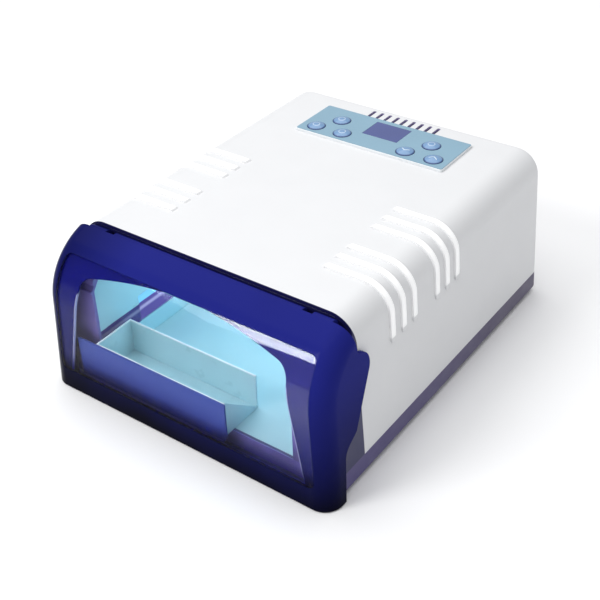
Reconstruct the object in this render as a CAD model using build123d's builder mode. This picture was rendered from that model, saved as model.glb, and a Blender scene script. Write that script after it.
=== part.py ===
from build123d import *
from math import asin, cos, degrees, radians, sin, tan
import os

os.makedirs("parts", exist_ok=True)

# A bench-top light-curing box for dental work: a moulded cabinet with an arched, lamp-lit
# chamber behind a flip-up visor door, a work tray, and a control panel on top.
# Millimetres. X runs across, Y from front to rear, Z up. The origin is on the table, under
# the middle of the closed box.

# Cabinet
overall_depth = 322.4
top_width = 240.0
side_flare = 4.2
cabinet_height = 125.4
feet_height = 5.0
strip_height = 14.0
wall = 2.5
long_edge_radius = 21.0
rear_edge_radius = 6.0
rear_foot_radius = 8.0
seat_gap = 0.3

# Door
door_wall = 2.6
wing_gap = 0.8
door_bottom = 1.0
door_corner_radius = 15.0
bead_radius = 6.0
bead_half_length = 108.0
hinge_gap = 0.6
lip_step = 0.9
brow_start = 18.0
brow_end = 88.0
brow_radius = 54.6
ear_radius = 13.0
ear_reach = 2.5
ear_drop = 28.3
ear_tangent = 26.0
ear_flank = 44.0
wing_step = 14.0
wing_step_drop = 8.5
wing_foot_lean = 4.2
wing_shoulder = 12.0
window_bottom = 19.0
window_drop = 13.4
window_margin = 12.5
window_corner_radius = 5.0
pane_gap = 0.15
rail_inset_low = 1.5
rail_inset_high = 8.0
rail_thickness = 2.0
rail_gap = 2.1
mask_sheet = 2.0
mask_lap = 4.0
mask_side_room = 26.0
mask_drop = 1.7
mask_corner = 13.0
mask_crown_radius = 394.0
mask_flare = 12.0

# Hinge
pin_radius = 1.5
pin_clearance = 0.06
pin_length = 16.0
lug_place = 88.0
lug_width = 7.4
lug_gap = 0.3
lug_arm_width = 5.0
lug_arm_angle = -52.0

# Front bezel and chamber
face_advance = 24.5
ridge_drop = 41.4
ridge_radius = 1.1
moulding_radius = 6.5
moulding_place = 11.0
moulding_sink = 3.0
arch_side_room = 30.0
arch_drop = 22.9
arch_radius = 12.0
liner_margin = 1.0
liner_sheet = 1.0
chamber_depth = 193.4
floor_sheet = 1.0
back_flange = 2.0

# Lamps: one reflector window, diffuser, board and heat sink on each of four planes
lamp_length = 142.0
lamp_width = 24.0
lamp_roof_x = 32.0
lamp_side_drop = 60.5
diffuser_rim = 3.0
diffuser_skin = 1.5
diffuser_height = 5.0
diffuser_border = 3.0
board_sheet = 1.6
led_count = 8
led_pitch = 17.0
led_size = 5.0
led_height = 1.4
sink_base = 2.5
sink_fin = 1.6
sink_fin_height = 7.0
sink_fin_count = 4
sink_fin_pitch = 6.5

# Ribs and vents of the cover
rib_rise = 1.3
rib_width = 5.4
rib_pitch = 14.5
rib_front_place = 88.0
rib_group_pitch = 60.5
rib_top_x = 67.7
rib_drop = 37.6
vent_count = 9
vent_pitch = 7.9
vent_length = 12.0
vent_width = 3.0
vent_place = 14.2

# Control panel
panel_width = 140.8
panel_depth = 50.9
panel_place = 48.85
panel_rise = 2.0
panel_lap = 2.5
panel_corner = 1.5
overlay_sheet = 0.4
overlay_border = 0.6
display_width = 33.3
display_depth = 24.5
display_shift = 7.4
display_rim = 2.4
button_radius = 7.7
button_gap = 0.3
button_dome = 1.7
button_flange = 0.7
button_flange_height = 1.3
button_stem_radius = 1.7
button_travel = 0.8
button_inner_x = 30.4
button_middle_x = 43.6
button_outer_x = 56.5
button_front_shift = -14.05
button_rear_shift = 5.45
switch_size = 7.0
switch_height = 4.0
switch_well = 2.2
control_board_drop = 10.8
control_board_width = 126.0
control_board_depth = 42.0
board_post_radius = 2.5
board_post_front_x = 18.0
board_post_rear_x = 23.5
board_post_reach = 17.0
snap_reach = 9.0
snap_width = 8.0
snap_depth = 5.0
snap_sheet = 1.5

# Rear panel and what it carries
rear_window_width = 190.0
rear_window_height = 78.0
rear_window_z = 66.0
rear_sheet = 1.2
rear_lap = 5.0
rear_window_corner = 3.0
rear_panel_corner = 2.0
fan_x = -35.0
fan_size = 60.0
fan_corner = 4.0
fan_depth = 15.0
fan_bore_radius = 28.0
fan_hub_radius = 12.5
fan_tip_gap = 0.9
fan_strut = 3.0
fan_disc = 2.5
fan_blades = 7
fan_blade_angle = 32.0
fan_blade_sheet = 1.4
fan_blade_chord = 11.6
fan_hole_place = 25.0
fan_hole_radius = 2.1
fan_axle_radius = 1.5
grille_slots = 9
grille_pitch = 6.2
grille_slot = 3.4
inlet_x = 66.0
inlet_width = 28.0
inlet_height = 20.5
inlet_depth = 24.0
inlet_flange = 2.0
inlet_flange_width = 50.0
inlet_flange_height = 24.0
inlet_flange_corner = 3.0
inlet_wall = 1.8
inlet_well = 16.0
inlet_chamfer = 4.0
prong_width = 2.0
prong_height = 4.0
prong_length = 13.0
prong_outer_x = 7.0
prong_shift = 2.0
rocker_x = 26.0
rocker_width = 13.0
rocker_height = 19.0
rocker_bezel = 2.2
rocker_bezel_rise = 1.6
rocker_depth = 16.0
rocker_axis_depth = 3.2
rocker_dish = 4.2
rocker_axle_radius = 1.2
rocker_axle_length = 1.4
rocker_tilt = 8.0
rocker_gap = 0.3

# Base pan, feet and fasteners
foot_radius = 8.0
foot_side_place = 22.0
foot_front_place = 31.4
foot_rear_place = 33.2
post_radius = 4.5
post_height = 26.0
post_sink = 0.8
post_front_place = 43.4
screw_radius = 1.5
screw_head_radius = 2.9
screw_head_height = 2.0
screw_clearance = 0.2
screw_depth = 14.0
rear_screw_bite = 2.0
pan_vent_count = 8
pan_vent_length = 30.0
pan_vent_width = 3.0
pan_vent_pitch = 9.0

# Power supply
supply_width = 112.0
supply_depth = 62.0
supply_x = -38.0
supply_place = 8.339
standoff_height = 6.0
standoff_radius = 3.0
supply_hole_inset = 5.0
transformer_width = 36.0
transformer_depth = 32.0
transformer_height = 30.0
transformer_shift_x = -32.0
transformer_shift_y = 8.0
capacitor_radius = 8.0
capacitor_height = 25.0
capacitor_shift_x = 4.0
capacitor_shift_y = 3.0
capacitor_pitch = 22.0
supply_sink_shift = 34.0
supply_sink_length = 44.0
supply_sink_height = 26.0

# Tray and its front shield
tray_side_gap = 4.0
tray_width = 123.0
tray_depth = 37.0
tray_top = 49.0
tray_sheet = 1.2
tray_front_gap = 7.6
shield_side_lap = 14.0
shield_lap = 1.5
shield_bottom = 13.0
shield_sheet = 1.5
shield_corner = 7.0

# Door stop and interlock
bumper_radius = 3.5
bumper_z = 34.0
magnet_width = 9.0
magnet_depth = 6.0
magnet_length = 14.0
magnet_z = 60.0
reed_width = 6.0
reed_length = 22.0
reed_height = 5.0
reed_corner = 1.0

# Levels and lines worked out from the driving dimensions
pan_bottom = feet_height
pan_floor = pan_bottom + wall
cover_bottom = feet_height + strip_height
chamber_floor_z = cover_bottom
cabinet_top = feet_height + cabinet_height
rear_face = overall_depth / 2
rear_inner = rear_face - wall
flare_slope = tan(radians(side_flare))
hinge_z = cabinet_top - lip_step - bead_radius
door_lean = tan(radians(90.0 - brow_end))
brow_foot_z = (hinge_z + bead_radius * cos(radians(brow_start))
               - brow_radius * (cos(radians(brow_start)) - cos(radians(brow_end))))
brow_reach = (bead_radius * sin(radians(brow_start))
              + brow_radius * (sin(radians(brow_end)) - sin(radians(brow_start))))
hinge_y = -overall_depth / 2 + brow_reach + (brow_foot_z - door_bottom) * door_lean
trough_radius = bead_radius + hinge_gap
cover_lip = hinge_y + trough_radius
front_face = hinge_y - face_advance
front_inner = front_face + wall
far = 2 * overall_depth
ridge_z = cabinet_top - ridge_drop
arch_top = cabinet_top - arch_drop
window_top = cabinet_top - window_drop
arch_half_width = top_width / 2 - arch_side_room
chamber_back_y = front_face + chamber_depth
lamp_side_z = arch_top - lamp_side_drop
rib_low_z = cabinet_top - rib_drop
vent_y = rear_face - vent_place
panel_y = rear_face - panel_place
display_y = panel_y + display_shift
supply_y = (chamber_back_y + rear_inner) / 2 - supply_place
foot_x = top_width / 2 - foot_side_place
foot_front_y = front_face + foot_front_place
foot_rear_y = rear_face - foot_rear_place


def half_width(z):
    """Half the cabinet's outer width at a height."""
    return top_width / 2 + flare_slope * (cabinet_top - z)


def save(piece, label):
    """Names a finished piece and writes it."""
    piece.part.label = label
    export_step(piece.part, f"parts/{label}.step")


def across_sketch(inset, bottom, plane):
    """The cabinet's section across, inset from its outer faces."""
    top = cabinet_top - inset
    side_inset = inset / cos(radians(side_flare))
    low = half_width(bottom) - side_inset
    high = half_width(top) - side_inset
    with BuildSketch(plane) as section:
        with BuildLine():
            Polyline((-low, bottom), (-high, top), (high, top), (low, bottom), close=True)
        make_face()
        fillet(section.vertices().group_by(Axis.Y)[-1], long_edge_radius - inset)
    return section.sketch


def rear_corner(inset):
    """What the rounding of the rear bottom edge takes away, as a bar across."""
    radius = rear_foot_radius - inset
    centre = (rear_face - rear_foot_radius, pan_bottom + rear_foot_radius)
    with BuildPart() as sliver:
        with BuildSketch(Plane.YZ.offset(-far / 2)):
            with Locations(centre):
                Rectangle(2 * radius, 2 * radius, align=(Align.MIN, Align.MAX))
                Circle(radius, mode=Mode.SUBTRACT)
        extrude(amount=far)
    return sliver.part


def cabinet_form(inset, front_inset, bottom):
    """The cabinet as a closed body. The front is stepped back under the door's brow."""
    front = front_face + front_inset
    lip = cover_lip + front_inset
    rear = rear_face - inset
    with BuildPart() as form:
        with BuildSketch(Plane.YZ.offset(-far / 2)):
            with BuildLine():
                Polyline(
                    (front, bottom),
                    (front, ridge_z),
                    (hinge_y + front_inset, hinge_z),
                    (lip, hinge_z),
                    (lip, far),
                    (rear, far),
                    (rear, bottom),
                    close=True,
                )
            make_face()
            with Locations((hinge_y, hinge_z)):
                Circle(trough_radius + front_inset, mode=Mode.SUBTRACT)
        extrude(amount=far)
        add_section = across_sketch(inset, bottom, Plane.XZ.offset(-far / 2))
        extrude(add_section, amount=far, mode=Mode.INTERSECT)
        rear_edges = form.edges().filter_by_position(Axis.Y, rear - 0.01, rear + 0.01)
        fillet([e for e in rear_edges if e.center().Z > bottom + 1], rear_edge_radius - inset)
    return form.part


def cavity_form(inset, bottom, front):
    """The room inside the cabinet's walls, from a front plane to the rear wall."""
    rear = rear_face - inset
    with BuildPart() as form:
        extrude(across_sketch(inset, bottom, Plane.XZ.offset(-rear)), amount=rear - front)
        rear_edges = form.edges().filter_by_position(Axis.Y, rear - 0.01, rear + 0.01)
        fillet([e for e in rear_edges if e.center().Z > bottom + 1], rear_edge_radius - inset)
    return form.part


# Screw posts stand in the four corners and merge into the side walls at their tops
post_x = half_width(cover_bottom + post_height) - wall - post_radius + post_sink
post_places = [(sx * post_x, y) for sx in (-1, 1) for y in (front_face + post_front_place, foot_rear_y)]
screw_hole_radius = screw_radius + screw_clearance

# Base pan
with BuildPart() as pan_room:
    add(cavity_form(wall, pan_floor, front_inner))
    add(rear_corner(wall), mode=Mode.SUBTRACT)

with BuildPart() as base_pan:
    add(cabinet_form(0, 0, pan_bottom))
    split(bisect_by=Plane.XY.offset(cover_bottom), keep=Keep.BOTTOM)
    add(rear_corner(0), mode=Mode.SUBTRACT)
    add(pan_room.part, mode=Mode.SUBTRACT)
    with BuildSketch(Plane.XY.offset(pan_floor)):
        with Locations(*post_places):
            Circle(post_radius)
    extrude(amount=strip_height - wall)
    with BuildSketch(Plane.XY.offset(pan_bottom)):
        with Locations(*post_places):
            Circle(screw_hole_radius)
    extrude(amount=strip_height, mode=Mode.SUBTRACT)
    with BuildSketch(Plane.XY.offset(pan_bottom)):
        with Locations(*post_places):
            Circle(screw_head_radius + screw_clearance)
    extrude(amount=screw_head_height + screw_clearance, mode=Mode.SUBTRACT)
    with BuildSketch(Plane.XY.offset(pan_bottom)):
        with Locations((0, supply_y)):
            with GridLocations(pan_vent_pitch, pan_vent_length + pan_vent_pitch, pan_vent_count, 2):
                SlotOverall(pan_vent_length, pan_vent_width, rotation=90)
    extrude(amount=wall, mode=Mode.SUBTRACT)
save(base_pan, "base_pan")

# Rubber feet, pressed to the underside
with BuildPart() as rubber_feet:
    with BuildSketch(Plane.XY):
        with Locations(*[(sx * foot_x, y) for sx in (-1, 1) for y in (foot_front_y, foot_rear_y)]):
            Circle(foot_radius)
    extrude(amount=feet_height, taper=5)
save(rubber_feet, "rubber_feet")

# Upper cover with its wrapped ribs, vents, panel hole, rear window and screw posts
rib_front_y = front_face + rib_front_place
rib_rows = [
    rib_front_y + group * rib_group_pitch + (i - 1) * rib_pitch for group in range(2) for i in range(3)
]
panel_hole_width = panel_width - 2 * panel_lap
panel_hole_depth = panel_depth - 2 * panel_lap
rear_screw_x = (rear_window_width + rear_lap) / 2
rear_screw_z = rear_window_height / 4
rear_screw_places = [
    (sx * rear_screw_x, rear_window_z + sz * rear_screw_z) for sx in (-1, 1) for sz in (-1, 1)
]


def rib_section(plane):
    """A rib seen from the front: a thin skin over the long edge, fading at both ends."""
    top = cabinet_top + 2 * rib_rise
    low_x = half_width(rib_low_z) + 2 * rib_rise
    with BuildSketch(plane) as section:
        add(across_sketch(-rib_rise, cover_bottom, Plane.XY))
        with BuildLine():
            Polyline(
                (-rib_top_x - 2 * rib_rise, top),
                (rib_top_x + 2 * rib_rise, top),
                (rib_top_x - 2 * rib_rise, cabinet_top - 2 * rib_rise),
                (rib_top_x - 2 * rib_rise, rib_low_z),
                (low_x - 4 * rib_rise, rib_low_z),
                (low_x + 2 * rib_rise, rib_low_z - 6 * rib_rise),
                (low_x + 20 * rib_rise, 0),
                (-low_x - 20 * rib_rise, 0),
                (-low_x - 2 * rib_rise, rib_low_z - 6 * rib_rise),
                (-low_x + 4 * rib_rise, rib_low_z),
                (2 * rib_rise - rib_top_x, rib_low_z),
                (2 * rib_rise - rib_top_x, cabinet_top - 2 * rib_rise),
                close=True,
            )
        make_face(mode=Mode.SUBTRACT)
    return section.sketch


with BuildPart() as upper_cover:
    add(cabinet_form(0, 0, cover_bottom))
    for rib_y in rib_rows:
        extrude(rib_section(Plane.XZ.offset(-rib_y - rib_width / 2)), amount=rib_width)
    add(cavity_form(wall, cover_bottom, -far), mode=Mode.SUBTRACT)
    with BuildSketch(Plane.XY.offset(cabinet_top - wall)):
        with Locations((0, vent_y)):
            with GridLocations(vent_pitch, vent_length, vent_count, 1):
                SlotOverall(vent_length, vent_width, rotation=90)
        with Locations((0, panel_y)):
            RectangleRounded(panel_hole_width, panel_hole_depth, panel_corner)
    extrude(amount=2 * wall, mode=Mode.SUBTRACT)
    with BuildSketch(Plane.XZ.offset(-rear_face)):
        with Locations((0, rear_window_z)):
            RectangleRounded(rear_window_width, rear_window_height, rear_window_corner)
    extrude(amount=wall, mode=Mode.SUBTRACT)
    with BuildSketch(Plane.XY.offset(cover_bottom)):
        with Locations(*post_places):
            Circle(post_radius)
    extrude(amount=post_height)
    with BuildSketch(Plane.XY.offset(cover_bottom)):
        with Locations(*post_places):
            Circle(screw_radius)
    extrude(amount=screw_depth, mode=Mode.SUBTRACT)
    with BuildSketch(Plane.XZ.offset(-rear_inner)):
        with Locations(*rear_screw_places):
            Circle(screw_radius)
    extrude(amount=-rear_screw_bite, mode=Mode.SUBTRACT)
save(upper_cover, "upper_cover")

# Front bezel: the skin around the chamber's mouth, stepped back to the hinge trough
arch_spring_z = arch_top - arch_radius
slope_run = hinge_y - front_face
slope_rise = hinge_z - ridge_z
slope_length = (slope_run ** 2 + slope_rise ** 2) ** 0.5
moulding_y = front_face + (slope_run * moulding_place + slope_rise * moulding_sink) / slope_length
moulding_z = ridge_z + (slope_rise * moulding_place - slope_run * moulding_sink) / slope_length
ridge_half = half_width(ridge_z) - wall - ridge_radius
moulding_half = half_width(moulding_z + moulding_radius) - wall - ridge_radius


def arch_sketch(margin, bottom, plane):
    """The chamber's arched outline, widened by a margin."""
    half = arch_half_width + margin
    spring = arch_spring_z
    radius = arch_radius + margin
    with BuildSketch(plane) as arch:
        with BuildLine():
            Line((-half, bottom), (-half, spring))
            RadiusArc((-half, spring), (radius - half, spring + radius), radius)
            Line((radius - half, spring + radius), (half - radius, spring + radius))
            RadiusArc((half - radius, spring + radius), (half, spring), radius)
            Line((half, spring), (half, bottom))
            Line((half, bottom), (-half, bottom))
        make_face()
    return arch.sketch


with BuildPart() as front_bezel:
    add(cabinet_form(wall + seat_gap, 0, cover_bottom))
    with BuildSketch(Plane.YZ.offset(-ridge_half)):
        with Locations((front_face, ridge_z)):
            Circle(ridge_radius)
    extrude(amount=2 * ridge_half)
    with BuildSketch(Plane.YZ.offset(-moulding_half)):
        with Locations((moulding_y, moulding_z)):
            Circle(moulding_radius)
    extrude(amount=2 * moulding_half)
    add(cabinet_form(-wall, wall, 0), mode=Mode.SUBTRACT)
    extrude(arch_sketch(0, 0, Plane.XZ.offset(-hinge_y)), amount=far, mode=Mode.SUBTRACT)
    for side in (-1, 1):
        with BuildSketch(Plane.YZ.offset(side * lug_place - lug_width / 2)):
            with Locations((hinge_y, hinge_z)):
                Circle(bead_radius - door_wall - 1.2 * lug_gap)
            with Locations(Location((hinge_y, hinge_z), lug_arm_angle)):
                Rectangle(trough_radius + wall / 2, lug_arm_width, align=(Align.MIN, Align.CENTER))
            with Locations((hinge_y, hinge_z)):
                Circle(pin_radius + pin_clearance, mode=Mode.SUBTRACT)
        extrude(amount=lug_width)
save(front_bezel, "front_bezel")

# Lamp planes: centre of each reflector window, facing out of the chamber
liner_outer = liner_margin + liner_sheet
lamp_y = chamber_back_y - lamp_length / 2 - 2 * diffuser_border
roof_level = arch_top + liner_outer
side_level = arch_half_width + liner_outer
lamp_planes = {
    "roof_left": Plane((-lamp_roof_x, lamp_y, roof_level), x_dir=(0, 1, 0), z_dir=(0, 0, 1)),
    "roof_right": Plane((lamp_roof_x, lamp_y, roof_level), x_dir=(0, 1, 0), z_dir=(0, 0, 1)),
    "side_left": Plane((-side_level, lamp_y, lamp_side_z), x_dir=(0, 1, 0), z_dir=(-1, 0, 0)),
    "side_right": Plane((side_level, lamp_y, lamp_side_z), x_dir=(0, 1, 0), z_dir=(1, 0, 0)),
}

# Chamber liner: a folded reflector sheet with a lamp window on each plane
liner_back = chamber_back_y
with BuildPart() as liner_reach:
    add(cabinet_form(2 * wall, wall + seat_gap, 0))

with BuildPart() as chamber_liner:
    extrude(arch_sketch(liner_outer, pan_floor, Plane.XZ.offset(-liner_back)), amount=far)
    extrude(arch_sketch(liner_margin, 0, Plane.XZ.offset(-liner_back)), amount=far, mode=Mode.SUBTRACT)
    add(liner_reach.part, mode=Mode.INTERSECT)
    for plane in lamp_planes.values():
        with BuildSketch(plane):
            Rectangle(lamp_length, lamp_width)
        extrude(amount=liner_outer, both=True, mode=Mode.SUBTRACT)
save(chamber_liner, "chamber_liner")

# Chamber floor: a folded plate standing on the pan
floor_half = arch_half_width + liner_margin - seat_gap
floor_front = front_inner + seat_gap
with BuildPart() as chamber_floor:
    with BuildSketch(Plane.XZ.offset(-liner_back)):
        with Locations((0, pan_floor)):
            Rectangle(2 * floor_half, chamber_floor_z - pan_floor, align=(Align.CENTER, Align.MIN))
            Rectangle(
                2 * (floor_half - floor_sheet),
                chamber_floor_z - pan_floor - floor_sheet,
                align=(Align.CENTER, Align.MIN),
                mode=Mode.SUBTRACT,
            )
    extrude(amount=liner_back - floor_front)
save(chamber_floor, "chamber_floor")

# Chamber back: a flanged plate that closes the liner
with BuildPart() as chamber_back:
    flange_edge = liner_outer + back_flange
    extrude(arch_sketch(flange_edge, pan_floor, Plane.XZ.offset(-liner_back)), amount=-liner_sheet)
save(chamber_back, "chamber_back")

# Lamp modules. The fins keep clear of the bezel and of the hinge's trough
with BuildPart() as lamp_room:
    add(cabinet_form(wall, wall + seat_gap, 0))

for name, plane in lamp_planes.items():
    with BuildPart() as diffuser:
        with BuildSketch(plane):
            Rectangle(lamp_length + 2 * diffuser_border, lamp_width + 2 * diffuser_border)
        extrude(amount=diffuser_height)
        with BuildSketch(plane.offset(diffuser_skin)):
            Rectangle(lamp_length, lamp_width)
        extrude(amount=diffuser_height, mode=Mode.SUBTRACT)
    save(diffuser, f"{name}_diffuser")

    with BuildPart() as board:
        with BuildSketch(plane.offset(diffuser_height)):
            Rectangle(lamp_length + 2 * diffuser_border, lamp_width + 2 * diffuser_border)
        extrude(amount=board_sheet)
    save(board, f"{name}_lamp_board")

    with BuildPart() as heat_sink:
        with BuildSketch(plane.offset(diffuser_height + board_sheet)):
            Rectangle(lamp_length + 2 * diffuser_border, lamp_width + 2 * diffuser_border)
        extrude(amount=sink_base)
        with BuildSketch(plane.offset(diffuser_height + board_sheet + sink_base)):
            with GridLocations(lamp_length, sink_fin_pitch, 1, sink_fin_count):
                Rectangle(lamp_length, sink_fin)
        extrude(amount=sink_fin_height)
        add(lamp_room.part, mode=Mode.INTERSECT)
    save(heat_sink, f"{name}_heat_sink")

with BuildPart() as lamp_leds:
    for plane in lamp_planes.values():
        with BuildSketch(plane.offset(diffuser_height)):
            with GridLocations(led_pitch, lamp_width, led_count, 1):
                Rectangle(led_size, led_size)
        extrude(amount=-led_height)
save(lamp_leds, "lamp_leds")

# Door: a moulded visor whose front, brow and flared wings are one shell
door_back = hinge_y + 4 * ear_radius


def door_half(z):
    """Half the door's outer width at a height."""
    return half_width(z) + wing_gap + door_wall


def door_form(inset, bottom):
    """The door as a closed body, inset from its outer faces."""
    start_angle = radians(brow_start)
    radius = bead_radius - inset
    start = (hinge_y - radius * sin(start_angle), hinge_z + radius * cos(start_angle))
    back_z = start[1] + (door_back - start[0]) * tan(start_angle)
    side_inset = inset / cos(radians(side_flare))
    low = door_half(bottom) - side_inset
    high = door_half(far) - side_inset
    with BuildPart() as form:
        with BuildSketch(Plane.YZ.offset(-far / 2)):
            with BuildLine():
                brow = JernArc(
                    start=start,
                    tangent=(-cos(start_angle), -sin(start_angle)),
                    radius=brow_radius - inset,
                    arc_size=brow_end - brow_start,
                )
                foot = brow @ 1
                toe = (foot.X - (foot.Y - bottom) * door_lean, bottom)
                Polyline(foot, toe, (door_back, bottom), (door_back, back_z), start)
            make_face()
        extrude(amount=far)
        with BuildSketch(Plane.XZ.offset(-far / 2)):
            with BuildLine():
                Polyline((-low, bottom), (-high, far), (high, far), (low, bottom), close=True)
            make_face()
        extrude(amount=far, mode=Mode.INTERSECT)
        side_faces = form.faces().sort_by(Axis.X)
        side_edges = side_faces[0].edges() + side_faces[-1].edges()
        rounded = [
            e for e in side_edges
            if e.center().Z > bottom + 1 and e.center().Y < door_back - 1
        ]
        fillet(rounded, door_corner_radius - inset)
    return form.part


# Outline of the wings from the side: brow notch, round ear, slanted flank and shoulder
ear_y = hinge_y + ear_reach
ear_z = hinge_z - ear_drop
ear_angle = radians(ear_tangent)
flank_top = (ear_y + ear_radius * cos(ear_angle), ear_z - ear_radius * sin(ear_angle))
flank_foot = (flank_top[0] - ear_flank * sin(ear_angle), flank_top[1] - ear_flank * cos(ear_angle))
shoulder = (flank_foot[0] - wing_step, flank_foot[1] - wing_step_drop)
wing_foot = (shoulder[0] - wing_foot_lean, door_bottom - wall)
with BuildSketch(Plane.YZ.offset(-far / 2)) as wing_outline:
    with BuildLine():
        Polyline(
            (-far / 2, door_bottom - wall),
            (-far / 2, cabinet_top),
            (hinge_y - 1, cabinet_top),
            (ear_y, ear_z + ear_radius + ear_reach),
            (ear_y, ear_z),
            flank_top,
            flank_foot,
            shoulder,
            wing_foot,
            close=True,
        )
    make_face()
    flank_corner = wing_outline.vertices().sort_by_distance(flank_foot)[0]
    fillet(flank_corner, wing_shoulder / 2)
    shoulder_corner = wing_outline.vertices().sort_by_distance(shoulder)[0]
    fillet(shoulder_corner, wing_shoulder)
    with Locations((ear_y, ear_z)):
        Circle(ear_radius)
    notch = wing_outline.vertices().sort_by_distance((ear_y, ear_z + ear_radius))[0]
    fillet(notch, ear_reach)


def window_sketch(margin):
    """The window from the front, grown by a margin; its sides follow the flare."""
    low_z = window_bottom - margin
    high_z = window_top + margin
    low = door_half(low_z) - window_margin + margin
    high = door_half(high_z) - window_margin + margin
    with BuildSketch(Plane.XZ.offset(far / 4)) as window:
        with BuildLine():
            Polyline((-low, low_z), (-high, high_z), (high, high_z), (low, low_z), close=True)
        make_face()
        fillet(window.vertices(), window_corner_radius)
    return window.sketch


window_reach = far / 4 + hinge_y - bead_radius

with BuildPart() as door_inside:
    add(door_form(door_wall, door_bottom - 2 * wall))

with BuildPart() as door_skin:
    add(door_form(0, door_bottom))
    add(door_inside.part, mode=Mode.SUBTRACT)
    extrude(wing_outline.sketch, amount=far, mode=Mode.INTERSECT)

bead_runs = (
    (-bead_half_length, -lug_place - lug_width / 2 - lug_gap),
    (-lug_place + lug_width / 2 + lug_gap, lug_place - lug_width / 2 - lug_gap),
    (lug_place + lug_width / 2 + lug_gap, bead_half_length),
)
with BuildPart() as door_shell:
    add(door_skin.part)
    extrude(window_sketch(0), amount=-window_reach, mode=Mode.SUBTRACT)
    for run_start, run_end in bead_runs:
        with BuildSketch(Plane.YZ.offset(run_start)):
            with Locations((hinge_y, hinge_z)):
                Circle(bead_radius)
        extrude(amount=run_end - run_start)
    for side in (-1, 1):
        with BuildSketch(Plane.YZ.offset(side * lug_place - pin_length / 2)):
            with Locations((hinge_y, hinge_z)):
                Circle(pin_radius + pin_clearance / 3)
        extrude(amount=pin_length, mode=Mode.SUBTRACT)
save(door_shell, "door_shell")

with BuildPart() as window_pane:
    add(door_skin.part)
    extrude(window_sketch(-pane_gap), amount=-window_reach, mode=Mode.INTERSECT)
save(window_pane, "window_pane")

with BuildPart() as hinge_pins:
    for side in (-1, 1):
        with BuildSketch(Plane.YZ.offset(side * lug_place - pin_length / 2)):
            with Locations((hinge_y, hinge_z)):
                Circle(pin_radius)
        extrude(amount=pin_length)
save(hinge_pins, "hinge_pins")

# Window frame behind the pane: an arched mask, and rails that run back from the window's sides
rail_back = front_face - rail_gap
rail_front = -overall_depth / 2
mask_half = top_width / 2 - mask_side_room
mask_crown_z = window_top - mask_drop - mask_crown_radius


def rail_inset(z):
    """How far the rear edge of a rail has closed in at a height."""
    return rail_inset_low + (rail_inset_high - rail_inset_low) * z / window_top


def rail_edge_x(z):
    """The middle of a rail's rear edge at a height."""
    return door_half(z) - window_margin - rail_inset(z) + rail_thickness / 2


def rail_form(grow):
    """The tapering room between the rails, widened by a growth."""
    with BuildPart() as form:
        for y, share in ((rail_front, 0), (rail_back, 1)):
            low = door_half(0) - window_margin - share * rail_inset(0) + grow
            high = door_half(window_top) - window_margin - share * rail_inset(window_top) + grow
            with BuildSketch(Plane.XZ.offset(-y)):
                with BuildLine():
                    Polyline((-low, 0), (-high, window_top), (high, window_top), (low, 0), close=True)
                make_face()
        loft()
    return form.part


def mask_opening(plane):
    """The arch of the mask from the front: flared sides, round corners and a shallow crown."""
    corner_x = mask_half - mask_corner
    corner_reach = mask_crown_radius - mask_corner
    corner_z = mask_crown_z + (corner_reach ** 2 - corner_x ** 2) ** 0.5
    crown_angle = degrees(asin(corner_x / corner_reach))
    foot_half = mask_half + corner_z * tan(radians(mask_flare))
    with BuildSketch(plane) as opening:
        with BuildLine():
            Line((-foot_half, 0), (-mask_half, corner_z))
            CenterArc((-corner_x, corner_z), mask_corner, 90 + crown_angle, 90 - crown_angle)
            CenterArc((0, mask_crown_z), mask_crown_radius, 90 - crown_angle, 2 * crown_angle)
            CenterArc((corner_x, corner_z), mask_corner, 0, 90 - crown_angle)
            Line((mask_half, corner_z), (foot_half, 0))
            Line((foot_half, 0), (-foot_half, 0))
        make_face()
    return opening.sketch


with BuildPart() as frame_room:
    add(door_form(door_wall + pane_gap, door_bottom - 2 * wall))

with BuildPart() as side_rails:
    add(rail_form(rail_thickness))
    add(rail_form(0), mode=Mode.SUBTRACT)
    add(frame_room.part, mode=Mode.INTERSECT)
    split(bisect_by=Plane.XY.offset(door_bottom + wall), keep=Keep.TOP)

with BuildPart() as window_rails:
    add(frame_room.part)
    add(door_form(door_wall + pane_gap + mask_sheet, door_bottom - 2 * wall), mode=Mode.SUBTRACT)
    extrude(window_sketch(mask_lap), amount=-window_reach, mode=Mode.INTERSECT)
    extrude(mask_opening(Plane.XZ.offset(far / 4)), amount=-window_reach, mode=Mode.SUBTRACT)
    add(side_rails.part)
save(window_rails, "window_rails")

# Bumpers that the rails of the closed door rest against
bumper_x = rail_edge_x(bumper_z)
with BuildPart() as door_bumpers:
    with BuildSketch(Plane.XZ.offset(-front_face)):
        with Locations((-bumper_x, bumper_z), (bumper_x, bumper_z)):
            Circle(bumper_radius)
    extrude(amount=rail_gap - seat_gap)
save(door_bumpers, "door_bumpers")

# Interlock: a magnet on the right-hand rail and a sealed reed switch behind the bezel
magnet_x = rail_edge_x(magnet_z)
with BuildPart() as interlock_magnet:
    with BuildSketch(Plane.XZ.offset(-rail_back)):
        with Locations((magnet_x, magnet_z)):
            Rectangle(magnet_width, magnet_length, align=(Align.MIN, Align.CENTER))
    extrude(amount=magnet_depth)
    add(rail_form(rail_thickness), mode=Mode.SUBTRACT)
save(interlock_magnet, "interlock_magnet")

with BuildPart() as interlock_switch:
    with BuildSketch(Plane.XZ.offset(-front_inner)):
        with Locations((magnet_x, magnet_z)):
            RectangleRounded(reed_width, reed_length, reed_corner)
    extrude(amount=-reed_height)
save(interlock_switch, "interlock_switch")

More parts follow.
